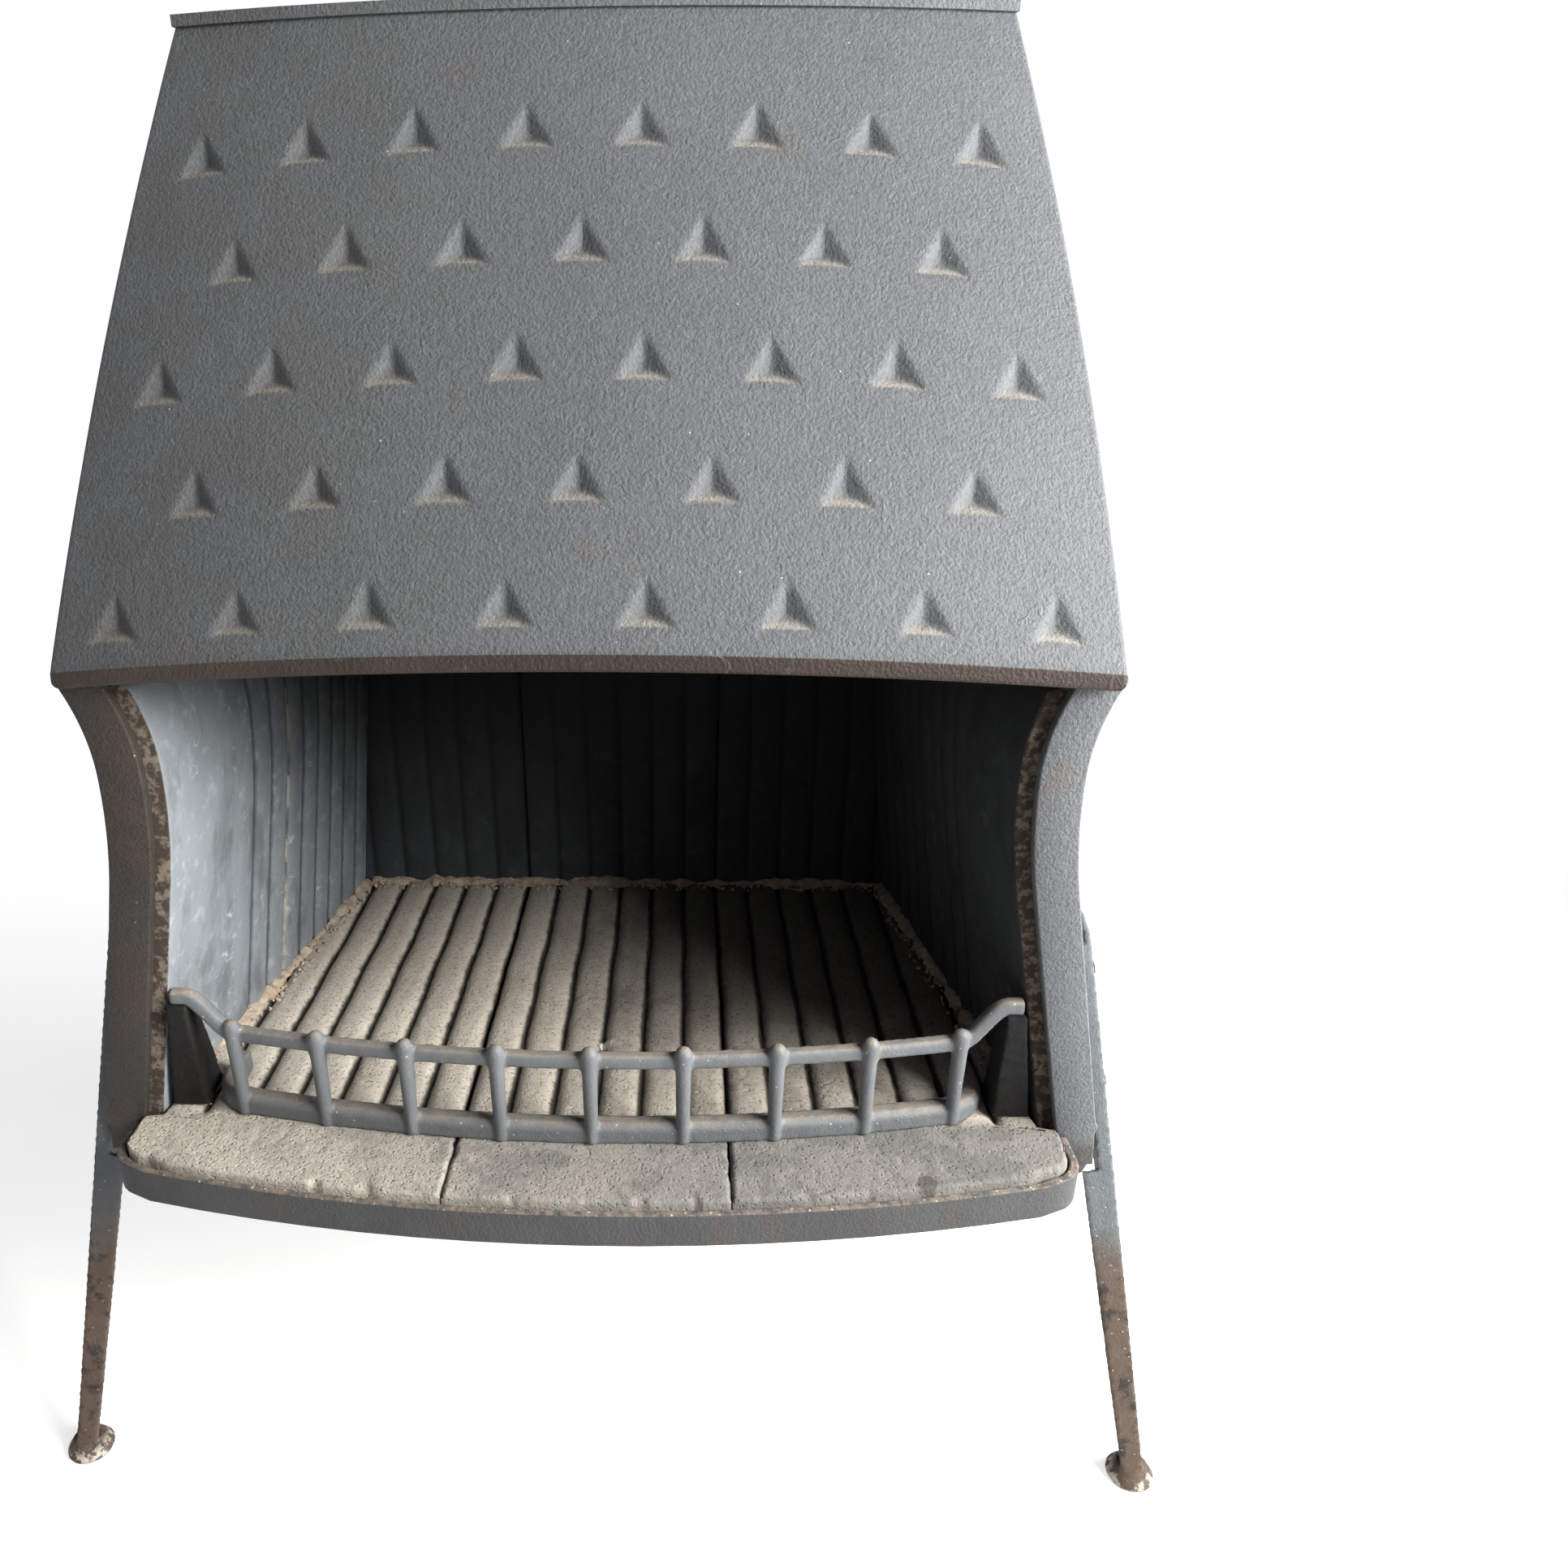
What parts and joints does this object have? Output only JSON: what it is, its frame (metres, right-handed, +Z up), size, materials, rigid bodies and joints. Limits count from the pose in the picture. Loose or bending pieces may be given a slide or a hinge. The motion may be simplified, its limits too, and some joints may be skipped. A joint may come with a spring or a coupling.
{
  "type": "free-standing cast-iron open stove",
  "caption": "Open cast-iron stove with a bowed hood of recessed triangles, firebrick-lined hearth, lift-out fender, flue collar and splayed legs.",
  "frame": {"origin": "on the floor under the middle of the object", "axes": "+Z is up, the open hearth faces -Y, and +X is on the right hand of someone standing in front of the hearth and looking at it"},
  "size_m": [0.9538, 0.566, 1.1658],
  "materials": {
    "stove_paint": "matte blue-grey stove paint on sand-cast iron, dusty, with faint brown patches",
    "bare_casting": "dark grey sand-cast iron with rust streaks and sandy dust",
    "firebrick": "warm beige-grey porous firebrick, dusty, with dark grooves",
    "wall_firebrick": "sooty blue-grey ribbed firebrick with white scuffs",
    "fire_cement": "crumbling cream and pinkish fire cement",
    "fender_iron": "dark blue-grey cast iron with dusty tops",
    "rusty_leg": "brown-rusted cast iron with chipped pale feet",
    "rusty_steel": "rusted steel bolts and nuts"
  },
  "bodies": {
    "root": {"hood_front": "stove_paint", "hood_side_left": "stove_paint", "hood_side_right": "stove_paint", "hood_top": "stove_paint", "flue_collar": "stove_paint", "back_plate": "bare_casting", "cheek_left": "stove_paint", "cheek_right": "stove_paint", "base_tray": "bare_casting", "hearth_tile_left": "firebrick", "hearth_tile_centre": "firebrick", "hearth_tile_right": "firebrick", "back_tile_left": "wall_firebrick", "back_tile_centre": "wall_firebrick", "back_tile_right": "wall_firebrick", "side_tile_front_left": "wall_firebrick", "side_tile_front_right": "wall_firebrick", "side_tile_rear_left": "wall_firebrick", "side_tile_rear_right": "wall_firebrick", "cement_left": "fire_cement", "cement_right": "fire_cement", "cement_back": "fire_cement", "fender": "fender_iron", "fender_post_left": "fender_iron", "fender_post_right": "fender_iron", "leg_front_left": "rusty_leg", "leg_front_right": "rusty_leg", "leg_rear_left": "rusty_leg", "leg_rear_right": "rusty_leg", "leg_bolts": "rusty_steel", "back_bolts": "rusty_steel", "hood_bolts": "rusty_steel", "hood_nuts": "rusty_steel", "top_bolts": "rusty_steel", "collar_bolts": "rusty_steel"}
  },
  "joints": []
}
